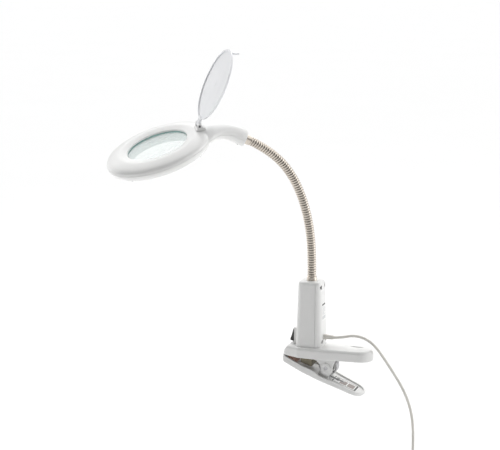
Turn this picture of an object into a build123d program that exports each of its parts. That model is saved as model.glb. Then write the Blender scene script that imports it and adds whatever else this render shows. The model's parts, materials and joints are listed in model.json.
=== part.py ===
"""Clip-on magnifying lamp: a lit ring lens on a gooseneck, standing on a sprung clip.

Frame: millimetres, +Z up. The origin is where the tips of the two jaws meet, on the clip's
centre plane. +X runs from the jaws to the handles, and Y is across the clip.
"""
import os
from math import asin, atan2, cos, degrees, pi, radians, sin, sqrt, tan

from build123d import *

# ---- Clip ---------------------------------------------------------------------------------------
jaw_tip_x = -9.0          # front of both jaws
handle_tip_x = 123.0      # rear end of the upper lever
upper_lever_height = 15.5
jaw_half_width = 18.0
lever_half_width = 25.0
handle_end_radius = 19.0
handle_rise = 7.6         # how far the underside of the upper lever climbs to its end
thumb_rest_radius = 60.0  # hollow of the thumb rest, along the lever
lever_wall = 3.0
lower_floor = 4.5         # thickness of the lower lever under its shallow tray
jaw_gap = 0.4             # closed jaws, pad to jaw
lower_lever_angle = 20.5  # slope of the lower lever when the clip is shut
lower_lever_drop = 10.0   # underside of the lower lever below the jaw line at its tip
lower_lever_length = 127.0
lower_wall_height = 7.3
lower_jaw_height = 9.0
pivot_x = 57.8
pivot_z = -13.0
pivot_pin_radius = 3.0
pivot_clearance = 0.05
pivot_boss_radius = 7.0
ear_inner_y = 14.3
ear_thickness = 3.5
lug_inner_y = 10.4
lug_thickness = 3.5
spring_radius = 12.5
spring_wire = 2.2
spring_turns = 4.5
spring_leg = 23.0         # reach of the spring's legs behind the pivot
front_pad_length = 14.0
grip_wedge_front_x = 14.0
grip_wedge_rear_x = 36.0
pad_half_width = 15.0

# ---- Column -------------------------------------------------------------------------------------
column_x = 30.0
column_height = 95.5
column_base_width = 39.0
column_top_width = 34.0
column_corner = 9.0
column_wall = 2.5
column_seam_x = 10.5      # parting plane behind the column's axis
seam_gap = 0.3
column_screw_y = 9.0
column_boss_x = 4.0       # lever screws, ahead of the column's axis
column_boss_y = 10.0
column_boss_length = 5.5
column_screw_z = (23.0, 103.0)
switch_z = 28.0
switch_width = 15.0
switch_height = 21.0
rocker_width = 12.0
rocker_height = 18.6
strain_relief_z = 28.4
strain_relief_length = 14.7
strain_relief_radius = 3.9

# ---- Gooseneck ----------------------------------------------------------------------------------
hose_radius = 6.45
hose_bore = 3.4
link_length = 25.0
link_gap = 2.0            # play between two links, so that each can tilt 15 degrees
neck_plane_azimuth = 37.2  # direction, seen from above, in which the hose leans
link_turns = (1.0, 3.0, 5.0, 5.5, 6.0, 8.0, 10.5, 12.0, 9.5, 6.0)
base_ferrule_height = 6.0
head_ferrule_length = 9.0
ferrule_wall = 0.7

# ---- Head ---------------------------------------------------------------------------------------
head_azimuth = 27.5       # heading of the line from the lens to the neck
head_pitch = 19.1         # rise of that line
head_roll = 12.7
ring_radius = 75.0
opening_radius = 43.5
lens_radius = 46.0
lens_edge = 3.0
lens_bulge = 3.6
head_wall = 2.2
head_seam_z = -8.0
head_bottom_z = -18.0
neck_end_x = 116.5
neck_end_z = -35.4
neck_end_slope = -44.0
neck_end_radius = 11.7
neck_bore = 7.2
hinge_x = 63.0
hinge_z = 7.1
hinge_pin_radius = 1.5
hinge_clearance = 0.05
cover_offset_x = 2.5      # lid centre, towards the hinge from the lens centre
cover_radius = 50.8
cover_open_angle = 133.0
led_count = 30
led_circle = 56.5
head_screw_circle = 67.4
ferrule_depth = 10.0      # length of the hose's ferrule inside the neck

# ---- Cord ---------------------------------------------------------------------------------------
cord_diameter = 4.2
cord_route = (
    (64.2, 0, 28.4), (77, 0, 29.8), (91, 0, 34.0), (106, 0, 33.0), (119, 0, 27.0),
    (130, 0, 16.5), (141, 0, 2.0), (153, 0, -15.0), (165, 0, -33.0), (175, 0, -53.0),
    (182, -1, -76), (185, -4, -100), (186, -8, -124), (186.2, -10.2, -146), (186.0, -10.75, -166),
)
coil_radius = 23.5        # inner layer of turns
coil_pitch = 4.3
coil_inner_turns = 5
coil_outer_turns = 4
coil_center = (186.0 + 23.5, 0.0, -176.0)
tail_route = ((181.7, -6.5, -176.0), (181.4, -6.7, -192), (180.6, -7.1, -207), (180.4, -7.2, -222))
plug_length = 36.0
plug_pin_radius = 2.0
plug_pin_length = 19.0
plug_pin_spacing = 19.0

# ---- Worked-out places --------------------------------------------------------------------------
column_base_z = upper_lever_height
column_top_z = column_base_z + column_height
rear_face_x = column_x + column_base_width / 2
ear_outer_y = ear_inner_y + ear_thickness
clip_side = Plane(origin=(0, 0, 0), x_dir=(1, 0, 0), z_dir=(0, -1, 0))
slope = radians(lower_lever_angle)
lower_frame = Plane(
    origin=(jaw_tip_x, 0, -lower_lever_drop),
    x_dir=(cos(slope), 0, -sin(slope)),
    z_dir=(sin(slope), 0, cos(slope)),
)
lower_side = Plane(origin=lower_frame.origin, x_dir=lower_frame.x_dir, z_dir=(0, -1, 0))
pivot_local = lower_side.to_local_coords(Vector(pivot_x, 0, pivot_z))


def upper_lever_outline(inset=0.0):
    """Plan of the upper lever: blunt jaw, full width at the column, round handle end."""
    front = 9.0
    with BuildSketch() as outline:
        with BuildLine():
            for side in (-1, 1):
                CenterArc((jaw_tip_x + front, side * (jaw_half_width - front)), front - inset, 0, 360)
                for x in (column_x - 12, column_x + 14):
                    CenterArc((x, side * (lever_half_width - 8)), 8 - inset, 0, 360)
            CenterArc((handle_tip_x - handle_end_radius, 0), handle_end_radius - inset, 0, 360)
        make_hull()
    return outline.sketch


def column_section(width, inset=0.0):
    """Rounded square of the column, centred on its axis."""
    with BuildSketch() as section:
        with Locations((column_x, 0)):
            RectangleRounded(width - 2 * inset, width - 2 * inset, column_corner - inset)
    return section.sketch


# ---- Upper lever --------------------------------------------------------------------------------
ear_outline = [
    (38.6, 13), (38.6, -1.5), (44, -3.5), (48.5, -8.0), (49.6, -13), (50.5, -20), (54, -24.5),
    (62, -25), (66.5, -20), (67.5, -12), (70, -4), (71.5, 13),
]
with BuildPart() as upper_lever:
    with BuildSketch():
        add(upper_lever_outline())
    extrude(amount=upper_lever_height)
    fillet(upper_lever.faces().sort_by(Axis.Z)[-1].edges(), 5.0)
    fillet(upper_lever.faces().sort_by(Axis.Z)[0].edges(), 1.2)
    with BuildSketch(clip_side):  # slanting nose
        with BuildLine():
            Polyline((jaw_tip_x - 3, 3.5), (jaw_tip_x, 3.5), (jaw_tip_x + 10, 17), (jaw_tip_x - 3, 17),
                     close=True)
        make_face()
    extrude(amount=30, both=True, mode=Mode.SUBTRACT)
    with BuildSketch(clip_side):  # underside of the handle, climbing to its end
        with BuildLine():
            ThreePointArc((70, -0.6), (100, handle_rise * 0.24), (handle_tip_x + 1, handle_rise))
            Polyline((handle_tip_x + 1, handle_rise), (handle_tip_x + 1, -6), (70, -6), (70, -0.6))
        make_face()
    extrude(amount=30, both=True, mode=Mode.SUBTRACT)
    with BuildSketch():  # hollow underside behind the jaw
        add(upper_lever_outline(inset=lever_wall))
        with Locations((grip_wedge_rear_x - 50, 0)):
            Rectangle(100, 60, mode=Mode.SUBTRACT)
    extrude(amount=upper_lever_height - lever_wall, mode=Mode.SUBTRACT)
    screw_places = [(column_x - column_boss_x, side * column_boss_y) for side in (-1, 1)]
    with BuildSketch(Plane.XY.offset(-1)):  # pockets and holes for the screws into the column
        with Locations(*screw_places):
            Circle(3.7)
    extrude(amount=upper_lever_height - lever_wall + 1, mode=Mode.SUBTRACT)
    with BuildSketch(Plane.XY.offset(-1)):
        with Locations(*screw_places):
            Circle(1.6)
    extrude(amount=upper_lever_height + 2, mode=Mode.SUBTRACT)
    rest_z = upper_lever_height + thumb_rest_radius - 1.0
    with Locations(Location((handle_tip_x - 27, 0, rest_z), (90, 0, 0))):
        Cylinder(thumb_rest_radius, 18, mode=Mode.SUBTRACT)
    for side in (-1, 1):
        with BuildSketch(clip_side.offset(side * (ear_inner_y + ear_thickness / 2))):
            with BuildLine():
                Polyline(*ear_outline, close=True)
            make_face()
        extrude(amount=ear_thickness / 2, both=True)
        with BuildSketch(clip_side.offset(side * (ear_outer_y + 0.7))):
            with Locations((pivot_x, pivot_z)):
                Circle(pivot_boss_radius)
        extrude(amount=0.7, both=True)
    with Locations(Plane(origin=(pivot_x, 0, pivot_z), z_dir=(0, -1, 0))):
        Hole(pivot_pin_radius, depth=60)
upper_lever.part.label = "upper_lever"

# ---- Lower lever --------------------------------------------------------------------------------
lower_profile = [
    (2.5, 0), (lower_lever_length - 6, 0), (lower_lever_length, 4), (lower_lever_length, 6.3),
    (60, lower_wall_height), (52, 9.6), (44, 10.4), (26, 9.3), (-3.0, lower_jaw_height), (-2.6, 5.5),
]


def lower_lever_plan(inset=0.0):
    """Plan of the lower lever in its own sloping plane."""
    front = 9.0
    with BuildSketch(lower_frame) as outline:
        with BuildLine():
            for side in (-1, 1):
                CenterArc((front - 3.3, side * (jaw_half_width - front)), front - inset, 0, 360)
                for x in (36, 62):
                    CenterArc((x, side * (lever_half_width - 8.5)), 8 - inset, 0, 360)
            CenterArc((lower_lever_length - handle_end_radius, 0), handle_end_radius - inset, 0, 360)
        make_hull()
    return outline.sketch


with BuildPart() as lower_lever:
    with BuildSketch(lower_side):
        with BuildLine():
            Polyline(*lower_profile, close=True)
        make_face()
    extrude(amount=30, both=True)
    whole_plan = extrude(lower_lever_plan(), amount=30, dir=lower_frame.z_dir, mode=Mode.PRIVATE)
    add(whole_plan, mode=Mode.INTERSECT)
    fillet(lower_lever.faces().sort_by(Axis(lower_frame.origin, lower_frame.z_dir))[0].edges(), 2.5)
    floor_plan = lower_lever_plan(inset=lever_wall).moved(Location(lower_frame.z_dir * lower_floor))
    add(extrude(floor_plan, amount=30, dir=lower_frame.z_dir, mode=Mode.PRIVATE), mode=Mode.SUBTRACT)
    for side in (-1, 1):  # lugs that carry the pivot pin
        with BuildSketch(lower_side.offset(side * (lug_inner_y + lug_thickness / 2))):
            with BuildLine():
                Polyline(
                    (pivot_local.X - 9, 1), (pivot_local.X + 9, 1),
                    (pivot_local.X + 6, pivot_local.Y), (pivot_local.X - 6, pivot_local.Y), close=True,
                )
            make_face()
            with Locations((pivot_local.X, pivot_local.Y)):
                Circle(6)
        extrude(amount=lug_thickness / 2, both=True)
    with Locations(Plane(origin=(pivot_x, 0, pivot_z), z_dir=(0, -1, 0))):
        Hole(pivot_pin_radius + pivot_clearance, depth=60)
lower_lever.part.label = "lower_lever"

with BuildPart() as pivot_pin:
    with BuildSketch(clip_side.offset(-ear_outer_y - 0.6)):
        with Locations((pivot_x, pivot_z)):
            Circle(pivot_pin_radius)
    extrude(amount=2 * ear_outer_y + 1.2)
    chamfer(pivot_pin.edges().filter_by(GeomType.CIRCLE), 0.4)
pivot_pin.part.label = "pivot_pin"

# ---- Torsion spring round the pivot -------------------------------------------------------------
pivot_axis = Axis((pivot_x, 0, pivot_z), (0, 1, 0))
upper_leg_tip = Vector(spring_leg, 0, upper_lever_height - lever_wall - spring_wire / 2 - 0.3 - pivot_z)
lower_leg_tip = lower_side.from_local_coords(
    Vector(pivot_local.X + spring_leg, lower_floor + spring_wire / 2 + 0.3, 0)
) - Vector(pivot_x, 0, pivot_z)


def leg_slope(tip):
    """Angle from the lengthwise line at which a leg leaves the coil to reach a point."""
    return atan2(abs(tip.Z), tip.X) - asin(spring_radius / tip.length)


spring_pitch = spring_wire + 0.5
all_turns = spring_turns + (leg_slope(upper_leg_tip) + leg_slope(lower_leg_tip)) / (2 * pi)
spring_span = spring_pitch * all_turns
with BuildPart() as torsion_spring:
    with BuildLine() as coil:
        turns = Helix(
            pitch=spring_pitch, height=spring_span, radius=spring_radius,
            center=(pivot_x, spring_span / 2, pivot_z), direction=(0, -1, 0), mode=Mode.PRIVATE,
        )
        add(turns.rotate(pivot_axis, 180 - degrees(leg_slope(upper_leg_tip))))
    with BuildSketch(Plane(origin=coil.line @ 0, z_dir=coil.line % 0)):
        Circle(spring_wire / 2)
    sweep(path=coil.line, is_frenet=True)
    for end, out, tip in ((0, -1, upper_leg_tip), (1, 1, lower_leg_tip)):
        with BuildSketch(Plane(origin=coil.line @ end, z_dir=(coil.line % end) * out)):
            Circle(spring_wire / 2)
        extrude(amount=sqrt(tip.length**2 - spring_radius**2))
torsion_spring.part.label = "torsion_spring"

# ---- Pads ---------------------------------------------------------------------------------------
with BuildPart() as lower_jaw_pad:
    with BuildSketch(lower_side):
        with BuildLine():
            Polyline(
                (4.5, lower_floor + 0.02), (4.5 + front_pad_length, lower_floor + 0.02),
                (4.5 + front_pad_length, 11.2), (4.5, 11.2 - 0.6), close=True,
            )
        make_face()
    extrude(amount=jaw_half_width - lever_wall - 3.5, both=True)
    with BuildSketch(clip_side):
        with Locations((10, 20 - jaw_gap)):
            Rectangle(80, 40)
    extrude(amount=40, both=True, mode=Mode.SUBTRACT)
    fillet(lower_jaw_pad.edges().filter_by(Axis.Y).sort_by(Axis.X)[-1], 1.0)
lower_jaw_pad.part.label = "lower_jaw_pad"

with BuildPart() as upper_jaw_pad:
    with BuildSketch(clip_side):
        with BuildLine():
            Polyline(
                (grip_wedge_front_x + 5.0, 0), (grip_wedge_rear_x - 0.2, 0),
                (grip_wedge_rear_x - 0.2, -14.5), (grip_wedge_front_x + 5.0, -8.6), close=True,
            )
        make_face()
    extrude(amount=pad_half_width, both=True)
    fillet(upper_jaw_pad.edges().filter_by(Axis.Y).group_by(Axis.Z)[0], 1.5)
upper_jaw_pad.part.label = "upper_jaw_pad"

with BuildPart() as handle_label:
    with BuildSketch(lower_frame.offset(lower_floor + 0.02)):
        with Locations((pivot_local.X + 32, 0)):
            RectangleRounded(40, 23, 2)
    extrude(amount=0.25)
handle_label.part.label = "handle_label"

# ---- Column shells ------------------------------------------------------------------------------
taper_per_mm = (column_base_width - column_top_width) / column_height


def column_width_at(z):
    """Outside width of the column at a height above the jaw line."""
    return column_base_width - (z - column_base_z) * taper_per_mm


with BuildPart() as column_blank:
    with BuildSketch(Plane.XY.offset(column_base_z)):
        add(column_section(column_base_width))
    with BuildSketch(Plane.XY.offset(column_top_z)):
        add(column_section(column_top_width))
    loft()
    fillet(column_blank.faces().sort_by(Axis.Z)[-1].edges(), 5.0)
    with BuildSketch(Plane.XY.offset(column_base_z + column_wall)):
        add(column_section(column_base_width, column_wall))
    with BuildSketch(Plane.XY.offset(column_top_z - 4)):
        add(column_section(column_top_width, column_wall))
    loft(mode=Mode.SUBTRACT)
    with Locations((column_x, 0, column_top_z)):
        Hole(5.1, depth=10)

seam_x = column_x + column_seam_x
plinth_x = column_x - column_width_at(switch_z) / 2
with BuildPart() as column_front_shell:
    add(column_blank.part)
    with Locations((plinth_x - 1.0, 0, switch_z)):  # raised seat of the switch
        Box(6, switch_width + 4, switch_height + 4)
    with Locations((seam_x + 50, 0, column_top_z)):
        Box(100, 100, 400, mode=Mode.SUBTRACT)
    with Locations((plinth_x, 0, switch_z)):
        Box(20, switch_width - 1.8, switch_height - 1.8, mode=Mode.SUBTRACT)
    for side in (-1, 1):  # bosses for the screws from the lever and from the rear cover
        with Locations((column_x - column_boss_x, side * column_boss_y, column_base_z + 6)):
            Cylinder(3.6, 12)
            Cylinder(1.25, 12, mode=Mode.SUBTRACT)
        for z in column_screw_z:
            half = column_width_at(z) / 2
            boss_x = seam_x - column_boss_length / 2
            with Locations((boss_x, side * (column_screw_y + half - 1) / 2, z)):
                Box(column_boss_length, half - 1 - column_screw_y, 2.0)
            with Locations(Location((boss_x, side * column_screw_y, z), (0, 90, 0))):
                Cylinder(3.0, column_boss_length)
                Cylinder(1.25, column_boss_length + 1, mode=Mode.SUBTRACT)
column_front_shell.part.label = "column_front_shell"

with BuildPart() as column_rear_cover:
    add(column_blank.part)
    with Locations((seam_x + seam_gap - 50, 0, column_top_z)):
        Box(100, 100, 400, mode=Mode.SUBTRACT)
    for z in column_screw_z:
        face_x = column_x + column_width_at(z) / 2
        for side in (-1, 1):
            boss_mid_x = (seam_x + seam_gap + face_x - 2) / 2
            with Locations(Location((boss_mid_x, side * column_screw_y, z), (0, 90, 0))):
                Cylinder(3.8, face_x - 2 - seam_x - seam_gap)
            with Locations(Location((face_x + 10 - 3.5, side * column_screw_y, z), (0, 90, 0))):
                Cylinder(3.1, 20, mode=Mode.SUBTRACT)
            with Locations(Location((face_x, side * column_screw_y, z), (0, 90, 0))):
                Cylinder(1.55, 40, mode=Mode.SUBTRACT)
    with Locations(Location((rear_face_x, 0, strain_relief_z), (0, 90, 0))):
        Cylinder(strain_relief_radius - 0.4, 12, mode=Mode.SUBTRACT)
column_rear_cover.part.label = "column_rear_cover"

with BuildPart() as column_screws:
    for z in column_screw_z:
        face_x = column_x + column_width_at(z) / 2
        for side in (-1, 1):
            with Locations(Location((face_x - 3.5 + 1.0, side * column_screw_y, z), (0, 90, 0))):
                Cylinder(2.8, 2.0)
            with Locations(Location((face_x - 3.5 - 4.5, side * column_screw_y, z), (0, 90, 0))):
                Cylinder(1.2, 9.0)
            with Locations((face_x - 1.5, side * column_screw_y, z)):
                Box(1.6, 0.8, 3.6, mode=Mode.SUBTRACT)
                Box(1.6, 3.6, 0.8, mode=Mode.SUBTRACT)
column_screws.part.label = "column_screws"

with BuildPart() as clamp_screws:
    for side in (-1, 1):
        head_z = upper_lever_height - lever_wall
        with Locations((column_x - column_boss_x, side * column_boss_y, head_z - 1.1)):
            Cylinder(3.2, 2.0)
            Box(4.4, 0.9, 1.2, align=(Align.CENTER, Align.CENTER, Align.MAX), mode=Mode.SUBTRACT)
        with Locations((column_x - column_boss_x, side * column_boss_y, head_z + 4.9)):
            Cylinder(1.2, 10)
clamp_screws.part.label = "clamp_screws"

# ---- Switch -------------------------------------------------------------------------------------
seat_x = plinth_x - 4.0   # outer face of the switch seat
with BuildPart() as switch_housing:
    with Locations((seat_x - 0.9, 0, switch_z)):
        Box(1.8, switch_width, switch_height)
        fillet(switch_housing.faces().sort_by(Axis.X)[0].edges(), 0.8)
    with Locations((seat_x + 6.9, 0, switch_z)):
        Box(13.8, switch_width - 2.2, switch_height - 2.2)
    with Locations((seat_x, 0, switch_z)):
        Box(10, rocker_width + 0.6, rocker_height + 0.4, mode=Mode.SUBTRACT)
    for z in (-5, 0, 5):
        with Locations((seat_x + 13.8 + 3, 0, switch_z + z)):
            Box(6.0, 4.8, 0.8)
switch_housing.part.label = "switch_housing"

rocker_axis_x = seat_x - 0.4
with BuildPart() as switch_rocker:
    with BuildSketch(clip_side):
        with BuildLine():
            Polyline(
                (rocker_axis_x + 2.5, switch_z - 6.5), (rocker_axis_x + 2.5, switch_z + 6.5),
                (rocker_axis_x - 0.6, switch_z + 8.9), (rocker_axis_x - 2.2, switch_z + 8.4),
                (rocker_axis_x - 4.4, switch_z), (rocker_axis_x - 6.7, switch_z - 6.4),
                (rocker_axis_x - 6.0, switch_z - 7.8), (rocker_axis_x - 1.0, switch_z - 8.9), close=True,
            )
        make_face()
    extrude(amount=rocker_width / 2, both=True)
    fillet(switch_rocker.edges().filter_by(Axis.Y).group_by(Axis.X)[0], 0.6)
switch_rocker.part.label = "switch_rocker"

# ---- Rear of the column: strain relief and rating label -----------------------------------------
cord_exit = Vector(*cord_route[0])
relief_start = cord_exit.X - strain_relief_length
with BuildPart() as strain_relief:
    with BuildSketch(Plane(origin=(relief_start - 6, 0, strain_relief_z), z_dir=(1, 0, 0))):
        Circle(strain_relief_radius - 0.45)
    extrude(amount=6.2)
    with BuildSketch(Plane(origin=(relief_start - 8, 0, strain_relief_z), z_dir=(1, 0, 0))):
        Circle(strain_relief_radius + 1.0)
    extrude(amount=2)
    with BuildSketch(Plane(origin=(relief_start + 0.1, 0, strain_relief_z), z_dir=(1, 0, 0))):
        Circle(strain_relief_radius - 0.6)
    with BuildSketch(Plane(origin=(cord_exit.X, 0, strain_relief_z), z_dir=(1, 0, 0))):
        Circle(cord_diameter / 2 + 0.5)
    loft()
    for i in range(5):
        rib_radius = strain_relief_radius - 0.2 * i
        with Locations(Location((relief_start + 1.2 + 2.6 * i, 0, strain_relief_z), (0, 90, 0))):
            Cylinder(rib_radius, 1.4)
strain_relief.part.label = "strain_relief"

label_z = 66.0
with BuildPart() as rating_label:
    label_face_x = column_x + column_width_at(label_z) / 2
    label_origin = (label_face_x + 0.02, 0, label_z)
    with BuildSketch(Plane(origin=label_origin, x_dir=(0, 1, 0), z_dir=(1, 0, taper_per_mm / 2))):
        RectangleRounded(19, 26, 1.2)
    extrude(amount=0.25)
rating_label.part.label = "rating_label"

# ---- Electronics in the column ------------------------------------------------------------------
board_x = column_x + 1.0
with BuildPart() as driver_board:
    with Locations((board_x, 0, 68)):
        Box(1.6, 24, 56)
driver_board.part.label = "driver_board"

with BuildPart() as driver_transformer:
    with Locations((board_x - 0.85 - 5.5, 0, 60)):
        Box(11, 15, 14)
        chamfer(driver_transformer.edges().filter_by(Axis.X), 1.2)
driver_transformer.part.label = "driver_transformer"

with BuildPart() as driver_capacitors:
    for y, z, r in ((-6, 82, 4.0), (6, 80, 3.1)):
        with Locations(Location((board_x - 0.85 - 5, y, z), (0, 90, 0))):
            Cylinder(r, 10)
    with Locations((board_x - 0.85 - 3, 0, 46)):
        Box(6, 13, 7)
driver_capacitors.part.label = "driver_capacitors"

with BuildPart() as cord_terminal:
    with Locations((board_x + 0.85 + 3.5, 0, 44.5)):
        Box(7, 12, 8)
    for y in (-3, 3):
        with Locations(Location((board_x + 0.85 + 3.5, y, 41.5), (0, 0, 0))):
            Cylinder(1.4, 3, mode=Mode.SUBTRACT)
cord_terminal.part.label = "cord_terminal"

# ---- Gooseneck: a chain of short links that bends where they meet -------------------------------
lean = radians(neck_plane_azimuth)
lean_dir = Vector(-cos(lean), -sin(lean), 0)
across_dir = Vector(-sin(lean), cos(lean), 0)   # square to the plane the hose leans in


def hose_point(s):
    """Point and direction on the hose's centreline at arc length s from the column's top."""
    position = Vector(column_x, 0, column_top_z)
    angle = 0.0
    left = s
    for turn in link_turns:
        step = min(left, link_length)
        turned = radians(turn) * step / link_length
        chord = step if turned == 0 else 2 * step / turned * sin(turned / 2)
        mid = angle + turned / 2
        position += (lean_dir * sin(mid) + Vector(0, 0, cos(mid))) * chord
        angle += turned
        left -= step
        if left <= 1e-9:
            break
    return position, lean_dir * sin(angle) + Vector(0, 0, cos(angle))


def hose_link(number, start, end):
    """One link: a curved tube between two arc lengths."""
    first, along = hose_point(start)
    middle, _ = hose_point((start + end) / 2)
    last, _ = hose_point(end)
    with BuildPart() as link:
        with BuildLine():
            ThreePointArc(first, middle, last)
        with BuildSketch(Plane(origin=first, x_dir=across_dir, z_dir=along)):
            Circle(hose_radius)
            Circle(hose_bore, mode=Mode.SUBTRACT)
        sweep()
    link.part.label = f"hose_link_{number:02d}"
    return link


hose_length = link_length * len(link_turns)
hose_links = []
for number in range(1, len(link_turns) + 1):
    start = (number - 1) * link_length + link_gap / 2
    end = number * link_length - link_gap / 2
    if number == 1:
        start = base_ferrule_height + 0.1
    if number == len(link_turns):
        end = hose_length - head_ferrule_length
    hose_links.append(hose_link(number, start, end))

with BuildPart() as base_ferrule:
    with BuildSketch(Plane.XZ):
        with BuildLine():
            Polyline(
                (column_x + hose_bore, column_top_z - 12), (column_x + 5.0, column_top_z - 12),
                (column_x + 5.0, column_top_z + 0.05), (column_x + 7.6, column_top_z + 0.05),
                (column_x + 7.3, column_top_z + 2.0), (column_x + hose_radius + 0.4, column_top_z + 5.4),
                (column_x + hose_radius, column_top_z + 6.0), (column_x + hose_bore, column_top_z + 6.0),
                close=True,
            )
        make_face()
    revolve(axis=Axis((column_x, 0, 0), (0, 0, 1)))
base_ferrule.part.label = "base_ferrule"

with BuildPart() as hose_lock_nut:
    with BuildSketch(Plane.XY.offset(column_top_z - 4.1)):
        with Locations((column_x, 0)):
            RegularPolygon(7.2, 6)
            Circle(5.05, mode=Mode.SUBTRACT)
    extrude(amount=-4.5)
hose_lock_nut.part.label = "hose_lock_nut"

# ---- Head frame ---------------------------------------------------------------------------------
yaw, pitch, roll = radians(head_azimuth), radians(head_pitch), radians(head_roll)
head_x = Vector(cos(yaw) * cos(pitch), sin(yaw) * cos(pitch), sin(pitch))
level = Vector(-sin(yaw), cos(yaw), 0)
upright = head_x.cross(level)
head_z = upright * cos(roll) - level * sin(roll)
hose_end, hose_end_dir = hose_point(hose_length)
ferrule_plane = Plane(origin=hose_end, z_dir=hose_end_dir)
head_origin = hose_end - head_x * neck_end_x - head_z * neck_end_z
head = Plane(origin=head_origin, x_dir=head_x, z_dir=head_z)
head_side = Plane(origin=head_origin, x_dir=head_x, z_dir=-head.y_dir)   # local x and z
head_axis = Axis(head_origin, head_z)


def on_head(x, y, z):
    """A head-frame point in the part's frame."""
    return head.from_local_coords(Vector(x, y, z))


def ring_solid(*points):
    """Revolve a closed profile of (radius, height) points about the lens axis."""
    with BuildPart() as ring:
        with BuildSketch(head_side):
            with BuildLine():
                Polyline(*points, close=True)
            make_face()
        revolve(axis=head_axis)
    return ring.part


# ---- Head shells --------------------------------------------------------------------------------
neck_stations = (
    # x, z, slope, half width, half height
    (58.0, -8.4, 0.0, 43.0, 8.0),
    (72.0, -8.8, -4.0, 30.0, 9.4),
    (86.0, -11.6, -15.0, 19.5, 10.6),
    (100.0, -19.0, -30.0, 14.0, 11.4),
    (neck_end_x, neck_end_z, neck_end_slope, neck_end_radius, neck_end_radius),
)


def neck_plane(x, z, tilt):
    """Plane across the neck, leaning with it."""
    a = radians(tilt)
    return Plane(
        origin=on_head(x, 0, z), x_dir=head.y_dir, z_dir=head_x * cos(a) + head_z * sin(a),
    )


with BuildPart() as neck_blank:
    for x, z, tilt, half_width, half_height in neck_stations:
        with BuildSketch(neck_plane(x, z, tilt)):
            Ellipse(half_width, half_height)
    loft()

with BuildPart() as neck_core:
    with BuildLine():
        Spline(*[on_head(x, 0, z) for x, z, *_ in neck_stations])
    with BuildSketch(neck_plane(*neck_stations[0][:3])):
        Circle(neck_bore)
    sweep()

with BuildPart() as head_blank:
    with BuildSketch(head_side):
        with BuildLine():
            rim = Spline((ring_radius, head_seam_z), (69.5, -1.2), (58, 1.6), (opening_radius, 0.0),
                         tangents=((0, 1), (-1, -0.22)))
            Polyline((opening_radius, 0.0), (opening_radius, head_bottom_z), (67.0, head_bottom_z))
            Spline((67.0, head_bottom_z), (72.6, -14.4), (ring_radius, head_seam_z), tangents=((1, 0), (0, 1)))
        make_face()
    revolve(axis=head_axis)
    add(neck_blank.part)

neck_end_up = neck_plane(*neck_stations[-1][:3]).y_dir
set_screw_place = Plane(origin=hose_end + hose_end_dir * 5 - neck_end_up * 9.4, z_dir=neck_end_up)

# inside space of both shells: the lens pocket, the lamp ring and the neck
with BuildPart() as head_inside:
    add(ring_solid((opening_radius - 1, -2.1), (lens_radius + 0.2, -2.6), (lens_radius + 0.2, -8.2),
                   (50.2, -8.2), (50.2, -2.0), (70.0, -3.0), (72.8, head_seam_z), (70.6, -14.0),
                   (66.6, -15.8), (64.2, -15.8), (64.2, -25), (opening_radius - 1, -25)))
    add(neck_core.part)
    with BuildSketch(ferrule_plane.offset(-1)):
        Circle(hose_radius + ferrule_wall / 2 + 0.05)
    extrude(amount=ferrule_depth + 2)
    with Locations(head.offset(head_bottom_z + 0.9)):
        with PolarLocations(head_screw_circle, 4, start_angle=45):
            Cylinder(1.95, 2.2)
    with Locations(set_screw_place):
        Cylinder(1.55, 5)


def parting_block(gap):
    """Everything below the seam of the head and neck, as one block."""
    seam = [(-90, head_seam_z), (neck_stations[1][0] - 6, head_seam_z)]
    seam += [(x, z) for x, z, *_ in neck_stations[1:]]
    end_x, end_z = neck_stations[-1][:2]
    seam.append((end_x + 20 * cos(radians(neck_end_slope)), end_z + 20 * sin(radians(neck_end_slope))))
    outline = [(x, z + gap) for x, z in seam] + [(seam[-1][0], -120), (-90, -120)]
    with BuildPart() as block:
        with BuildSketch(head_side):
            with BuildLine():
                Polyline(*outline, close=True)
            make_face()
        extrude(amount=100, both=True)
    return block.part


with BuildPart() as head_upper_shell:
    add(head_blank.part)
    add(head_inside.part, mode=Mode.SUBTRACT)
    add(parting_block(seam_gap / 2), mode=Mode.SUBTRACT)
head_upper_shell.part.label = "head_upper_shell"

with BuildPart() as head_lower_shell:
    add(head_blank.part)
    add(head_inside.part, mode=Mode.SUBTRACT)
    add(parting_block(-seam_gap / 2), mode=Mode.INTERSECT)
    add(ring_solid((0, 10), (50.5, 10), (50.5, -40), (0, -40)), mode=Mode.SUBTRACT)
head_lower_shell.part.label = "head_lower_shell"

# ---- Lens and lamp ring -------------------------------------------------------------------------
lens_top_z = -2.7
lens_bottom_z = lens_top_z - lens_edge
face_radius = (lens_radius**2 + lens_bulge**2) / (2 * lens_bulge)
half_bulge = lens_bulge - face_radius + sqrt(face_radius**2 - (lens_radius / 2) ** 2)
with BuildPart() as lens:
    with BuildSketch(head_side):
        with BuildLine():
            Line((0, lens_top_z + lens_bulge), (0, lens_bottom_z - lens_bulge))
            ThreePointArc((0, lens_bottom_z - lens_bulge), (lens_radius / 2, lens_bottom_z - half_bulge),
                          (lens_radius, lens_bottom_z))
            Line((lens_radius, lens_bottom_z), (lens_radius, lens_top_z))
            ThreePointArc((lens_radius, lens_top_z), (lens_radius / 2, lens_top_z + half_bulge),
                          (0, lens_top_z + lens_bulge))
        make_face()
    revolve(axis=head_axis)
lens.part.label = "lens"

with BuildPart() as lens_retainer:
    add(ring_solid((44.2, lens_bottom_z - 0.55), (lens_radius, lens_bottom_z - 0.1), (lens_radius, -8.5),
                   (48.2, -8.5), (48.2, -16.2), (49.6, -16.2), (49.6, head_bottom_z - 0.4),
                   (45.2, head_bottom_z - 0.4)))
lens_retainer.part.label = "lens_retainer"

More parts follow.
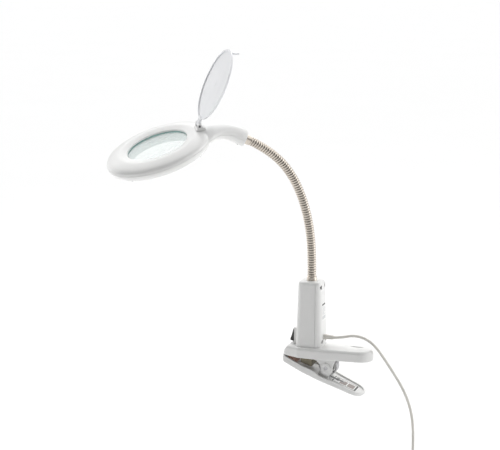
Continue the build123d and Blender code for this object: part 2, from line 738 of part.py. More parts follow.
with BuildPart() as led_board:
    add(ring_solid((49.0, -12.0), (64.0, -12.0), (64.0, -13.4), (49.0, -13.4)))
led_board.part.label = "led_board"

with BuildPart() as leds:
    with Locations(head.offset(-13.42 - 0.5)):
        with PolarLocations(led_circle, led_count):
            Box(2.8, 3.5, 1.0)
leds.part.label = "leds"

with BuildPart() as led_diffuser:
    add(ring_solid((48.35, -16.1), (48.35, -14.9), (63.9, -14.9), (63.9, head_bottom_z + 0.3),
                   (49.8, head_bottom_z + 0.3), (49.8, -16.1)))
led_diffuser.part.label = "led_diffuser"

# ---- Lid hinge and lid --------------------------------------------------------------------------
hinge_axis_plane = Plane(origin=on_head(hinge_x, 0, hinge_z), x_dir=head_x, z_dir=-head.y_dir)
with BuildPart() as hinge_bracket:
    with BuildSketch(head_side):
        with BuildLine():
            Polyline((hinge_x - 7, -2.0), (hinge_x + 7, -2.0), (hinge_x + 6.4, 3.8), (hinge_x - 6.0, 4.0),
                     close=True)
        make_face()
    extrude(amount=9.5, both=True)
    add(head_blank.part, mode=Mode.SUBTRACT)
    for side in (-1, 1):
        with BuildSketch(head_side.offset(side * 7.6)):
            with BuildLine():
                Polyline((hinge_x - 4.6, 3.5), (hinge_x + 4.6, 3.5), (hinge_x + 3.2, hinge_z),
                         (hinge_x - 3.2, hinge_z), close=True)
            make_face()
            with Locations((hinge_x, hinge_z)):
                Circle(3.2)
        extrude(amount=1.6, both=True)
    with BuildSketch(head_side):  # room for the knuckle of the lid
        with Locations((hinge_x, hinge_z)):
            Circle(3.9)
    extrude(amount=5.8, both=True, mode=Mode.SUBTRACT)
    with Locations(hinge_axis_plane):
        Hole(hinge_pin_radius, depth=40)
hinge_bracket.part.label = "hinge_bracket"

with BuildPart() as hinge_pin:
    with BuildSketch(hinge_axis_plane.offset(-9.6)):
        Circle(hinge_pin_radius)
    extrude(amount=19.2)
hinge_pin.part.label = "hinge_pin"

swing = radians(cover_open_angle)
cover_x = head_x * cos(swing) - head_z * sin(swing)
cover_z = head_z * cos(swing) + head_x * sin(swing)
cover_origin = on_head(hinge_x, 0, hinge_z) - cover_x * hinge_x - cover_z * hinge_z
cover = Plane(origin=cover_origin, x_dir=cover_x, z_dir=cover_z)
cover_side = Plane(origin=cover_origin, x_dir=cover_x, z_dir=-cover.y_dir)
cover_axis = Axis(cover.from_local_coords(Vector(cover_offset_x, 0, 0)), cover_z)
with BuildPart() as lens_cover:
    with BuildSketch(cover_side):
        with BuildLine():
            edge = cover_offset_x + cover_radius
            Line((cover_offset_x, 6.6), (cover_offset_x, 4.9))
            Line((cover_offset_x, 4.9), (edge - 2.0, 3.9))
            Line((edge - 2.0, 3.9), (edge - 2.0, 2.6))
            Line((edge - 2.0, 2.6), (edge, 2.6))
            Line((edge, 2.6), (edge, 4.4))
            ThreePointArc((edge, 4.4), (edge - 0.6, 5.3), (edge - 2.4, 5.8))
            Line((edge - 2.4, 5.8), (cover_offset_x, 6.6))
        make_face()
    revolve(axis=cover_axis)
    with BuildSketch(cover_side):  # arm to the knuckle
        with BuildLine():
            Polyline((edge - 4.0, 3.6), (hinge_x, hinge_z - 2.4), (hinge_x, hinge_z + 1.5), (edge - 6.0, 5.8),
                     close=True)
        make_face()
    extrude(amount=5.0, both=True)
    with BuildSketch(cover_side):
        with Locations((hinge_x, hinge_z)):
            Circle(2.9)
    extrude(amount=5.5, both=True)
    tip = cover_offset_x - cover_radius
    with BuildSketch(cover_side):  # finger tab
        with BuildLine():
            Polyline((tip + 2.5, 4.0), (tip + 0.3, 4.0), (tip - 2.6, 13.6), (tip - 1.0, 14.2), (tip + 2.5, 5.6),
                     close=True)
        make_face()
    extrude(amount=7.0, both=True)
    with Locations(Plane(origin=cover.from_local_coords(Vector(hinge_x, 0, hinge_z)), z_dir=-head.y_dir)):
        Hole(hinge_pin_radius + hinge_clearance, depth=40)
lens_cover.part.label = "lens_cover"

# ---- Small head parts ---------------------------------------------------------------------------
with BuildPart() as head_screws:
    with Locations(head.offset(head_bottom_z + 0.9)):
        with PolarLocations(head_screw_circle, 4, start_angle=45):
            Cylinder(1.9, 2.0)
head_screws.part.label = "head_screws"

with BuildPart() as head_ferrule:
    with BuildSketch(ferrule_plane.offset(0.4 - head_ferrule_length)):
        Circle(hose_radius + ferrule_wall / 2)
        Circle(hose_bore, mode=Mode.SUBTRACT)
    extrude(amount=head_ferrule_length - 0.4 + ferrule_depth)
head_ferrule.part.label = "head_ferrule"

with BuildPart() as neck_set_screw:
    with Locations(set_screw_place):
        Cylinder(1.5, 4)
neck_set_screw.part.label = "neck_set_screw"


# ---- Cord ---------------------------------------------------------------------------------------
def cord_run(points, label):
    """A cord of straight runs and tangent arcs, each arc as large as its runs allow."""
    pts = [Vector(*p) for p in points]
    radii = []
    for a, b, c in zip(pts, pts[1:], pts[2:]):
        turn = radians((b - a).get_angle(c - b))
        radii.append(0.45 * min((b - a).length, (c - b).length) / tan(turn / 2))
    print(label, "radii", [round(r, 1) for r in radii])
    with BuildPart() as run:
        with BuildLine() as path:
            FilletPolyline(*pts, radius=radii)
        with BuildSketch(Plane(origin=path.line @ 0, z_dir=path.line % 0)):
            Circle(cord_diameter / 2)
        sweep(path=path.line)
    length = sum(edge.length for edge in path.edges())
    print(label, "length", round(length, 1), "volume ratio", run.part.volume / (length * pi * cord_diameter**2 / 4))
    run.part.label = label
    return run, length


cord_tube, tube_length = cord_run(cord_route, "cord_tube")
cord_tail, tail_length = cord_run(tail_route, "cord_tail")

coil_outer_radius = coil_radius + coil_pitch
coil_width = coil_pitch * coil_inner_turns + cord_diameter
turns_length = 2 * pi * (coil_inner_turns * coil_radius + coil_outer_turns * coil_outer_radius)
print("cord length", round(tube_length + turns_length + tail_length))
with BuildPart() as cord_coil:
    with BuildSketch(Plane(origin=coil_center, x_dir=(1, 0, 0), z_dir=(0, 0, 1))):
        with Locations(((coil_radius + coil_outer_radius) / 2, 0)):
            RectangleRounded(coil_pitch + cord_diameter, coil_width, cord_diameter * 0.45)
    revolve(axis=Axis(coil_center, (0, 1, 0)))
cord_coil.part.label = "cord_coil"

with BuildPart() as cord_tie:
    tie_z = coil_center[2] + (coil_radius + coil_outer_radius) / 2
    with BuildSketch(Plane(origin=(coil_center[0] - 4.5, 0, tie_z), x_dir=(0, 1, 0), z_dir=(1, 0, 0))):
        RectangleRounded(coil_width + 2.4, coil_pitch + cord_diameter + 2.4, 2.6)
        RectangleRounded(coil_width + 0.2, coil_pitch + cord_diameter + 0.2, 1.8, mode=Mode.SUBTRACT)
    extrude(amount=9)
cord_tie.part.label = "cord_tie"

plug_top = Vector(*tail_route[-1])
with BuildPart() as plug_body:
    for drop, wide, thick in ((0, 6.5, 6.5), (9, 9.0, 8.0), (16, 19.0, 12.5), (plug_length, 25.5, 13.6)):
        with BuildSketch(Plane(origin=plug_top - Vector(0, 0, drop), z_dir=(0, 0, -1))):
            RectangleRounded(wide, thick, min(wide, thick) * 0.4)
    loft(ruled=False)
plug_body.part.label = "plug_body"

with BuildPart() as plug_pins:
    for side in (-1, 1):
        pin_z = plug_top.Z - plug_length - plug_pin_length / 2
        with Locations((plug_top.X + side * plug_pin_spacing / 2, plug_top.Y, pin_z)):
            Cylinder(plug_pin_radius, plug_pin_length)
    fillet(plug_pins.edges().group_by(Axis.Z)[0], 1.6)
plug_pins.part.label = "plug_pins"

# ---- Write every piece --------------------------------------------------------------------------
pieces = [
    upper_lever, lower_lever, pivot_pin, torsion_spring, lower_jaw_pad, upper_jaw_pad, handle_label,
    column_front_shell, column_rear_cover, column_screws, clamp_screws, switch_housing, switch_rocker,
    strain_relief, rating_label, driver_board, driver_transformer, driver_capacitors, cord_terminal,
    base_ferrule, hose_lock_nut, head_upper_shell, head_lower_shell, lens, lens_retainer, led_board, leds,
    led_diffuser, hinge_bracket, hinge_pin, lens_cover, head_screws, head_ferrule, neck_set_screw,
    cord_tube, cord_coil, cord_tail, cord_tie, plug_body, plug_pins, *hose_links,
]
os.makedirs("parts", exist_ok=True)
for piece in pieces:
    export_step(piece.part, f"parts/{piece.part.label}.step")
print(len(pieces), "pieces written")
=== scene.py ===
"""Clip-on magnifying lamp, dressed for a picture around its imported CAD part."""
import json
import math

import bmesh
import bpy
import numpy as np
from mathutils import Matrix, Vector

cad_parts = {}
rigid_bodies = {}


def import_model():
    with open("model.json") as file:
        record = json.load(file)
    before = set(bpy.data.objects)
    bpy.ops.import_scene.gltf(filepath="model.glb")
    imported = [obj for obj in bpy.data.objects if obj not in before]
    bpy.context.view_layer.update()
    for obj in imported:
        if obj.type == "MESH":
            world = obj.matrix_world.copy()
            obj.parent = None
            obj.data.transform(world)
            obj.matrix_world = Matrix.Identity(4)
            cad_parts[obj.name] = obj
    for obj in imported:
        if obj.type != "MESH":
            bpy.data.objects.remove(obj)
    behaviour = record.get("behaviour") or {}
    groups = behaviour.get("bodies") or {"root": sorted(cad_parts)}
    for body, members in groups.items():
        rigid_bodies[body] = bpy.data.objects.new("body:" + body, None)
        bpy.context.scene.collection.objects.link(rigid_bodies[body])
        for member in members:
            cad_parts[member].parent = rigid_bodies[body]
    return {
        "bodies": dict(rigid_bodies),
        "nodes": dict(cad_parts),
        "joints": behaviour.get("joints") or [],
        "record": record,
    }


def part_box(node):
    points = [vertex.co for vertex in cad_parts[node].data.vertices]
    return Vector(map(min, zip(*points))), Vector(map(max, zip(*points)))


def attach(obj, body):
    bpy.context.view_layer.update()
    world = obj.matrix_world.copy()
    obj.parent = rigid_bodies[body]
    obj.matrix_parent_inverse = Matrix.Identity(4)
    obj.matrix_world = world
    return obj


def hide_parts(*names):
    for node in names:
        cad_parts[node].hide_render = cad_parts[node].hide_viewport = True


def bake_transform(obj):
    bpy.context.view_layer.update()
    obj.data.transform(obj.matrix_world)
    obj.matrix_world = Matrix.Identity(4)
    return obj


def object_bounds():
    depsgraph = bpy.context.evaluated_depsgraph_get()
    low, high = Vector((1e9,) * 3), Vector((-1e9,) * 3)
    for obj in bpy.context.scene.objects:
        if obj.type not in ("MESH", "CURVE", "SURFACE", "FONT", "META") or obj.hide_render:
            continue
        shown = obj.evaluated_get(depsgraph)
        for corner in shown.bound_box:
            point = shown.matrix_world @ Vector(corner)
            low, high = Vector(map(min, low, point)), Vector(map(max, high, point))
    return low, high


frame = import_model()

bl_info = {
    "name": "Magnifying Lamp Looks",
    "version": (1, 0, 0),
    "blender": (4, 5, 0),
    "location": "View3D > Sidebar > Magnifying Lamp",
    "description": "Builds the surfaces, cord, hose, lens and stage of a clip-on magnifying lamp",
    "category": "Object",
}

MM = 0.001
CAD_BOX = [list(corner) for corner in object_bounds()]
JOINTS = {joint["name"]: joint for joint in frame["joints"]}
HOSE_JOINTS = [
    "lower_bend_1", "sway_1", "lower_bend_2", "sway_2", "upper_bend_1",
    "sway_3", "upper_bend_2", "sway_4", "upper_bend_3",
]
CORD_ROUTE = (
    (64.2, 0, 28.4), (77, 0, 29.8), (91, 0, 34.0), (106, 0, 33.0), (119, 0, 27.0),
    (130, 0, 16.5), (141, 0, 2.0), (153, 0, -15.0), (165, 0, -33.0), (175, 0, -53.0),
    (182, -1, -76), (185, -4, -100), (186, -8, -124), (186.2, -10.2, -146), (186.0, -10.75, -166),
)
CORD_TAIL = ((181.4, -6.7, -192), (180.6, -7.1, -207), (180.4, -7.2, -222))

# The put-away coil, in millimetres: turns of cord side by side, in an inner and an outer layer.
COIL_CENTRE = (209.5, 0.0, -176.0)
COIL_RADIUS = 23.5
COIL_SPACING = 4.3
COIL_HALF_WIDTH = 10.75
COIL_INNER_TURNS = 5
COIL_OUTER_TURNS = 4
COIL_CLIMB_LEAD = 0.25
COIL_CLIMB_TURNS = 0.3

# The hose, in metres.
HOSE_RADIUS = 0.00645
HOSE_TUCK = 0.0002
HOSE_STEPS = 100
HOSE_AROUND = 40
RIB_ROWS = 10
RIB_ROUNDNESS = 0.6
RIB_SHADOW = 1.25

# The lens, in metres: half the height of its ground edge, and how finely it is divided.
LENS_EDGE_HALF = 0.0015
LENS_AROUND = 128
LENS_ROWS = 24

# The torsion spring, in metres and radians.
SPRING_WIRE = 0.0011
SPRING_RADIUS = 0.0125
SPRING_TURNS = 4.5
SPRING_STEPS = 200
SPRING_LEG_STEPS = 8
SPRING_LEG_EASE = 0.02
SPRING_LEG_TRIM = 0.0008
SPRING_TIP_SHARE = 0.3
SPRING_SWEEP_BACK = math.radians(32)
SPRING_SWEEP_STEPS = 20

WIRE_AROUND = 12
INK_LIFT = 0.00006
GRAIN_HEIGHT = 0.00004

# The view: where it looks, how far it is turned and raised, how far off it stands.
CAMERA_TARGET = (-0.0536, -0.0304, 0.1916)
CAMERA_TURN = math.radians(20)
CAMERA_RISE = math.radians(11.5)
CAMERA_DISTANCE = 2.0
CAMERA_LENS = 100.9
CAMERA_REACH = 1000.0

FLOOR_DROP = 0.02
FLOOR_SIZE = 400.0
LIGHT_AIM = (-0.05, -0.03, 0.15)
# Name, place, angle in degrees, strength.
SUNS = (
    ("overhead_sun", (-0.3, 0.5, 1.0), 70, 1.75),
    ("right_sun", (1.0, 0.35, 0.75), 50, 0.55),
)
# Name, place, side in metres, watts.
SOFTBOXES = (
    ("left_softbox", (-1.9, 0.4, 0.7), 1.3, 9.0),
    ("right_softbox", (1.9, 0.9, 0.6), 1.3, 9.0),
)


# ---- Settings ----------------------------------------------------------------------------
class LampFinish(bpy.types.PropertyGroup):
    """Colours of the lamp's surfaces."""

    shell: bpy.props.FloatVectorProperty(
        name="Shell", description="Moulded plastic of the head, column and clip",
        default=(0.80, 0.80, 0.79), size=3, min=0, max=1, subtype="COLOR")
    hose: bpy.props.FloatVectorProperty(
        name="Hose", description="Plated steel of the gooseneck",
        default=(0.66, 0.60, 0.53), size=3, min=0, max=1, subtype="COLOR")
    front_pad: bpy.props.FloatVectorProperty(
        name="Front pad", description="Soft pad at the tip of the lower jaw",
        default=(0.66, 0.42, 0.35), size=3, min=0, max=1, subtype="COLOR")
    # Dark olive read off the shaded gap between the jaws: the pad's own rubber colour with painted shade in
    # it.
    grip_pad_with_shade: bpy.props.FloatVectorProperty(
        name="Grip pad", description="Rubber wedge under the upper jaw",
        default=(0.28, 0.25, 0.18), size=3, min=0, max=1, subtype="COLOR")
    cord: bpy.props.FloatVectorProperty(
        name="Cord", description="Soft vinyl of the mains cord",
        default=(0.78, 0.76, 0.71), size=3, min=0, max=1, subtype="COLOR")
    glass_edge: bpy.props.FloatVectorProperty(
        name="Glass edge", description="Ground edge of the lens",
        default=(0.01, 0.30, 0.27), size=3, min=0, max=1, subtype="COLOR")


class LampSizes(bpy.types.PropertyGroup):
    """Sizes of the details that the looks add."""

    rib_pitch: bpy.props.FloatProperty(
        name="Rib pitch", description="Distance between two turns of the hose",
        default=0.0036, min=0.001, max=0.01, unit="LENGTH", precision=4)
    rib_depth: bpy.props.FloatProperty(
        name="Rib depth", description="Depth of the groove between two turns of the hose",
        default=0.0009, min=0.0, max=0.002, unit="LENGTH", precision=5)
    cord_diameter: bpy.props.FloatProperty(
        name="Cord diameter", description="Outside of the cord's jacket",
        default=0.0042, min=0.002, max=0.01, unit="LENGTH", precision=4)
    light: bpy.props.FloatProperty(
        name="Light", description="Strength of the studio light",
        default=1.0, min=0.0, max=10.0, subtype="FACTOR")


def finish_of(context):
    return context.scene.lamp_finish


def sizes_of(context):
    return context.scene.lamp_sizes


# ---- Materials ----------------------------------------------------------------------------
def surface(name, light, dark, mottle=35.0, rough=(0.30, 0.38), grain=2200.0, bump=0.06, **sockets):
    """A two-tone mottled surface with fine grain; fixed sockets are passed by name."""
    found = bpy.data.materials.get(name)
    if found:
        return found
    material = bpy.data.materials.new(name)
    material.use_nodes = True
    nodes, links = material.node_tree.nodes, material.node_tree.links
    shader = nodes["Principled BSDF"]
    place = nodes.new("ShaderNodeTexCoord")
    cloud = nodes.new("ShaderNodeTexNoise")
    cloud.inputs["Scale"].default_value = mottle
    cloud.inputs["Detail"].default_value = 4.0
    links.new(place.outputs["Object"], cloud.inputs["Vector"])
    ramp = nodes.new("ShaderNodeValToRGB")
    ramp.color_ramp.elements[0].position = 0.35
    ramp.color_ramp.elements[0].color = (*dark, 1)
    ramp.color_ramp.elements[1].position = 0.65
    ramp.color_ramp.elements[1].color = (*light, 1)
    links.new(cloud.outputs["Fac"], ramp.inputs["Fac"])
    links.new(ramp.outputs["Color"], shader.inputs["Base Color"])
    spread = nodes.new("ShaderNodeMapRange")
    spread.inputs["To Min"].default_value = rough[0]
    spread.inputs["To Max"].default_value = rough[1]
    links.new(cloud.outputs["Fac"], spread.inputs["Value"])
    links.new(spread.outputs["Result"], shader.inputs["Roughness"])
    fine = nodes.new("ShaderNodeTexNoise")
    fine.inputs["Scale"].default_value = grain
    fine.inputs["Detail"].default_value = 2.0
    links.new(place.outputs["Object"], fine.inputs["Vector"])
    raise_up = nodes.new("ShaderNodeBump")
    raise_up.inputs["Strength"].default_value = bump
    raise_up.inputs["Distance"].default_value = GRAIN_HEIGHT
    links.new(fine.outputs["Fac"], raise_up.inputs["Height"])
    links.new(raise_up.outputs["Normal"], shader.inputs["Normal"])
    for socket, value in sockets.items():
        shader.inputs[socket.replace("_", " ")].default_value = value
    return material


def paint_groove_shade(material, dark):
    """Darkens a material with painted shade where the mesh says that it is down in a groove."""
    nodes, links = material.node_tree.nodes, material.node_tree.links
    shader = nodes["Principled BSDF"]
    depth = nodes.new("ShaderNodeAttribute")
    depth.attribute_name = "groove"
    mix = nodes.new("ShaderNodeMix")
    mix.data_type = "RGBA"
    mix.inputs["B"].default_value = (*dark, 1)
    before = shader.inputs["Base Color"].links[0].from_socket
    links.new(before, mix.inputs["A"])
    links.new(depth.outputs["Fac"], mix.inputs["Factor"])
    links.new(mix.outputs["Result"], shader.inputs["Base Color"])
    return material


def shade(color, factor):
    return tuple(channel * factor for channel in color)


def shell_plastic(context):
    tone = tuple(finish_of(context).shell)
    return surface("moulded_white", tone, shade(tone, 0.975), rough=(0.30, 0.36), grain=900, bump=0.03,
                   Specular_IOR_Level=0.45, Coat_Weight=0.12, Coat_Roughness=0.25)


def plated_steel(context):
    tone = tuple(finish_of(context).hose)
    return surface("plated_steel", tone, shade(tone, 0.86), mottle=120, rough=(0.24, 0.34), grain=3000,
                   bump=0.05, Metallic=1.0)


def ferrule_steel(context):
    tone = tuple(finish_of(context).hose)
    return surface("plated_ferrule", tone, shade(tone, 0.9), mottle=120, rough=(0.22, 0.30), grain=3000,
                   bump=0.04, Metallic=1.0)


def plain_steel():
    return surface("plain_steel", (0.55, 0.55, 0.56), (0.46, 0.46, 0.47), mottle=200, rough=(0.28, 0.40),
                   grain=4000, bump=0.08, Metallic=1.0)


def dark_screw():
    return surface("dark_screw_steel", (0.13, 0.13, 0.14), (0.09, 0.09, 0.10), mottle=300,
                   rough=(0.35, 0.45), grain=4000, bump=0.08, Metallic=0.85)


def black_plastic():
    return surface("black_plastic", (0.018, 0.018, 0.019), (0.012, 0.012, 0.013), mottle=90,
                   rough=(0.30, 0.42), grain=2600, bump=0.12)


def pad_rubber(name, light, dark):
    return surface(name, light, dark, mottle=220, rough=(0.6, 0.75), grain=1500, bump=0.3)


def grey_plastic():
    return surface("grey_plastic", (0.50, 0.51, 0.52), (0.46, 0.47, 0.48), rough=(0.40, 0.50), grain=2600)


# ---- Mesh helpers ---------------------------------------------------------------------------
def new_piece(name, vertices, faces, material, body=None):
    """A smooth mesh object made from points in metres, riding on a body if one is named."""
    mesh = bpy.data.meshes.new(name)
    mesh.from_pydata([tuple(v) for v in vertices], [], faces)
    mesh.update()
    mesh.polygons.foreach_set("use_smooth", [True] * len(mesh.polygons))
    mesh.materials.append(material)
    piece = bpy.data.objects.new(name, mesh)
    bpy.context.scene.collection.objects.link(piece)
    if body:
        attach(piece, body)
    return piece


def tidy_normals(piece):
    """Points every face outwards."""
    work = bmesh.new()
    work.from_mesh(piece.data)
    bmesh.ops.recalc_face_normals(work, faces=work.faces)
    work.to_mesh(piece.data)
    work.free()
    return piece


def grid_faces(rows, columns):
    """Quads of a grid whose columns wrap round."""
    faces = []
    for i in range(rows - 1):
        for j in range(columns):
            beside = (j + 1) % columns
            below, above = i * columns, (i + 1) * columns
            faces.append((below + j, below + beside, above + beside, above + j))
    return faces


def frames_along(points):
    """The direction and a twist-free pair of cross vectors at every point of a path."""
    tangents = []
    for i in range(len(points)):
        step = points[min(i + 1, len(points) - 1)] - points[max(i - 1, 0)]
        tangents.append(step.normalized())
    side = tangents[0].orthogonal().normalized()
    out = []
    for tangent in tangents:
        side = (side - tangent * side.dot(tangent)).normalized()
        out.append((tangent, side, tangent.cross(side)))
    return out


def wire_through(name, points, radius, material, body):
    """A round wire through points, closed at both ends."""
    around = WIRE_AROUND
    rings = []
    for point, (_, side, up) in zip(points, frames_along(points)):
        for j in range(around):
            a = 2 * math.pi * j / around
            rings.append(point + (side * math.cos(a) + up * math.sin(a)) * radius)
    faces = grid_faces(len(points), around)
    faces += [tuple(range(around)), tuple((len(points) - 1) * around + j for j in range(around))]
    return tidy_normals(new_piece(name, rings, faces, material, body))


def dress(node, material):
    """Gives a carried-over CAD piece its material."""
    piece = frame["nodes"][node]
    piece.data.materials.clear()
    piece.data.materials.append(material)
    return piece


def points_of(node):
    return np.array([v.co for v in frame["nodes"][node].data.vertices], float)


def head_place():
    """Matrix of the head: origin in the lens's centre plane, x towards the neck, z out of the top face."""
    lens = points_of("lens")
    low, high = lens.min(0), lens.max(0)
    centre = Vector((low + high) / 2)
    spread = lens - np.array(centre)
    normal = Vector(np.linalg.svd(spread, full_matrices=False)[2][2])
    if normal.z < 0:
        normal = -normal
    hinge = Vector(JOINTS["lid_hinge"]["pos_m"])
    across = Vector(JOINTS["lid_hinge"]["axis"]).normalized()
    along = across.cross(normal).normalized()
    normal = along.cross(across).normalized()
    if along.dot(hinge - centre) < 0:
        along, across = -along, -across
    place = Matrix((along, across, normal)).transposed().to_4x4()
    place.translation = centre
    return place


# ---- Operators --------------------------------------------------------------------------------
class LAMP_OT_camera(bpy.types.Operator):
    """Set the camera in front of the clip, a little above it"""

    bl_idname = "lamp.camera"
    bl_label = "Camera"

    def execute(self, context):
        data = bpy.data.cameras.new("camera")
        camera = bpy.data.objects.new("camera", data)
        context.scene.collection.objects.link(camera)
        back = Vector((math.sin(CAMERA_TURN) * math.cos(CAMERA_RISE),
                       -math.cos(CAMERA_TURN) * math.cos(CAMERA_RISE), math.sin(CAMERA_RISE)))
        camera.location = Vector(CAMERA_TARGET) + back * CAMERA_DISTANCE
        camera.rotation_euler = (-back).to_track_quat("-Z", "Y").to_euler()
        data.sensor_width = 36.0
        data.lens = CAMERA_LENS
        data.clip_end = CAMERA_REACH
        context.scene.camera = camera
        return {"FINISHED"}


class LAMP_OT_cord(bpy.types.Operator):
    """Run the mains cord from the column down to its tied coil and on to the plug"""

    bl_idname = "lamp.cord"
    bl_label = "Cord"

    def execute(self, context):
        route = [Vector(p) * MM for p in CORD_ROUTE]
        centre = Vector(COIL_CENTRE) * MM
        around = 16
        swell = 1 / math.cos(math.pi / around)
        for i in range(around * (COIL_INNER_TURNS + COIL_OUTER_TURNS) + 1):
            turn = i / around
            if turn < COIL_INNER_TURNS:
                y = -COIL_HALF_WIDTH + COIL_SPACING * turn
            else:
                y = COIL_HALF_WIDTH - COIL_SPACING * (turn - COIL_INNER_TURNS)
            grown = min(1.0, max(0.0, (turn - (COIL_INNER_TURNS - COIL_CLIMB_LEAD)) / COIL_CLIMB_TURNS))
            radius = (COIL_RADIUS + COIL_SPACING * grown * grown * (3 - 2 * grown)) * swell
            angle = 2 * math.pi * turn
            offset = Vector((-radius * math.cos(angle), y, -radius * math.sin(angle))) * MM
            route.append(centre + offset)
        route += [Vector(p) * MM for p in CORD_TAIL]
        data = bpy.data.curves.new("mains_cord", "CURVE")
        data.dimensions = "3D"
        spline = data.splines.new("NURBS")
        spline.points.add(len(route) - 1)
        for point, place in zip(spline.points, route):
            point.co = (*place, 1)
        spline.order_u = 3
        spline.use_endpoint_u = True
        spline.resolution_u = 6
        data.bevel_depth = sizes_of(context).cord_diameter / 2
        data.bevel_resolution = 6
        data.use_fill_caps = True
        tone = tuple(finish_of(context).cord)
        vinyl = surface("cord_vinyl", tone, shade(tone, 0.93), mottle=60, rough=(0.42, 0.52), grain=1800,
                        bump=0.1)
        data.materials.append(vinyl)
        cord = bpy.data.objects.new("mains_cord", data)
        context.scene.collection.objects.link(cord)
        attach(cord, "stand")
        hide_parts("cord_tube", "cord_coil", "cord_tail")
        tie = dress("cord_tie", black_plastic())
        body = dress("plug_body", vinyl)
        pins = dress("plug_pins", plain_steel())
        dress("strain_relief", vinyl)
        return {"FINISHED"}


class LAMP_OT_hose(bpy.types.Operator):
    """Wind the ribbed gooseneck, bending between its links, with the ferrules at its ends"""

    bl_idname = "lamp.hose"
    bl_label = "Gooseneck"

    def execute(self, context):
        line, reach = hose_line()
        total = reach[-1]
        turns = max(1, round(total / sizes_of(context).rib_pitch))
        pitch, depth = total / turns, sizes_of(context).rib_depth
        # Painted shade: the plated colour turns near black down in the grooves between the turns.
        metal = paint_groove_shade(plated_steel(context), (0.05, 0.04, 0.033))
        joints = [float(reach[HOSE_STEPS * (k + 1)]) for k in range(len(HOSE_JOINTS))]
        stops = [0.0, *joints, total]
        cuts = [round((a + b) / 2 / pitch) * pitch for a, b in zip(stops, stops[1:])]
        edges = [0.0, *cuts, total]
        last = len(edges) - 2
        for index, (start, end) in enumerate(zip(edges, edges[1:])):
            piece = ribbed(f"hose_ribs_{index + 1:02d}", line, reach, (start, end), pitch, depth, metal)
            if index == 0:
                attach(piece, "stand")
                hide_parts("hose_link_01")
            elif index == last:
                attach(piece, "head")
                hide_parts("hose_link_10")
            else:
                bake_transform(piece)
                if index < last - 1:
                    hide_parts(f"hose_link_{index + 1:02d}")
        dress("base_ferrule", ferrule_steel(context))
        dress("head_ferrule", ferrule_steel(context))
        dress("hose_lock_nut", plain_steel())
        return {"FINISHED"}


def hose_line():
    """Dense centreline of the hose, from ferrule to ferrule, and the length along it at each point."""
    low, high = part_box("base_ferrule")
    start = Vector(((low.x + high.x) / 2, (low.y + high.y) / 2, high.z - HOSE_TUCK))
    ferrule = points_of("head_ferrule")
    middle = (ferrule.min(0) + ferrule.max(0)) / 2
    axis = np.linalg.svd(ferrule - middle, full_matrices=False)[2][0]
    last_joint = np.array(JOINTS[HOSE_JOINTS[-1]]["pos_m"])
    if np.dot(axis, middle - last_joint) < 0:
        axis = -axis
    half = ((ferrule - middle) @ axis).max()
    end = middle - axis * (half - HOSE_TUCK)
    knots = np.array([np.array(start), *(np.array(JOINTS[n]["pos_m"]) for n in HOSE_JOINTS), end])
    gaps = np.linalg.norm(np.diff(knots, axis=0), axis=1)
    slopes = np.zeros_like(knots)
    slopes[0] = (0, 0, 1)
    slopes[-1] = axis
    for i in range(1, len(knots) - 1):
        before, after = (knots[i] - knots[i - 1]) / gaps[i - 1], (knots[i + 1] - knots[i]) / gaps[i]
        mixed = (before * gaps[i] + after * gaps[i - 1]) / (gaps[i] + gaps[i - 1])
        slopes[i] = mixed / np.linalg.norm(mixed)
    dense = []
    for i in range(len(knots) - 1):
        leave, arrive = gaps[i] * slopes[i], gaps[i] * slopes[i + 1]
        for k in range(HOSE_STEPS):
            t = k / HOSE_STEPS
            h00, h10 = 2 * t**3 - 3 * t**2 + 1, t**3 - 2 * t**2 + t
            h01, h11 = -2 * t**3 + 3 * t**2, t**3 - t**2
            dense.append(h00 * knots[i] + h10 * leave + h01 * knots[i + 1] + h11 * arrive)
    dense.append(knots[-1])
    dense = np.array(dense)
    reach = np.concatenate([[0.0], np.cumsum(np.linalg.norm(np.diff(dense, axis=0), axis=1))])
    return dense, reach


def along_hose(line, reach, length):
    """Point of the centreline at a length along it."""
    return Vector([np.interp(length, reach, line[:, c]) for c in range(3)])


def ribbed(name, line, reach, stretch, pitch, depth, material):
    """One stretch of hose whose outside follows the round turns of its winding."""
    start, end = stretch
    count = max(2, round((end - start) / pitch) * RIB_ROWS)
    side = Vector((0.6, -0.8, 0.0))
    look = 0.001
    rings, groove = [], []
    for s in np.linspace(start, end, count + 1):
        point = along_hose(line, reach, s)
        tangent = (along_hose(line, reach, s + look) - along_hose(line, reach, s - look)).normalized()
        across = (side - tangent * side.dot(tangent)).normalized()
        up = tangent.cross(across)
        crest = abs(math.sin(math.pi * s / pitch)) ** RIB_ROUNDNESS
        radius = HOSE_RADIUS - depth * (1 - crest)
        for j in range(HOSE_AROUND):
            angle = 2 * math.pi * j / HOSE_AROUND
            rings.append(point + (across * math.cos(angle) + up * math.sin(angle)) * radius)
            groove.append(max(0.0, 1 - crest * RIB_SHADOW))
    piece = tidy_normals(new_piece(name, rings, grid_faces(count + 1, HOSE_AROUND), material))
    # The groove attribute carries the painted shade, full at the bottom of each groove and none on the
    # crests.
    values = piece.data.attributes.new("groove", "FLOAT", "POINT")
    values.data.foreach_set("value", groove)
    return piece


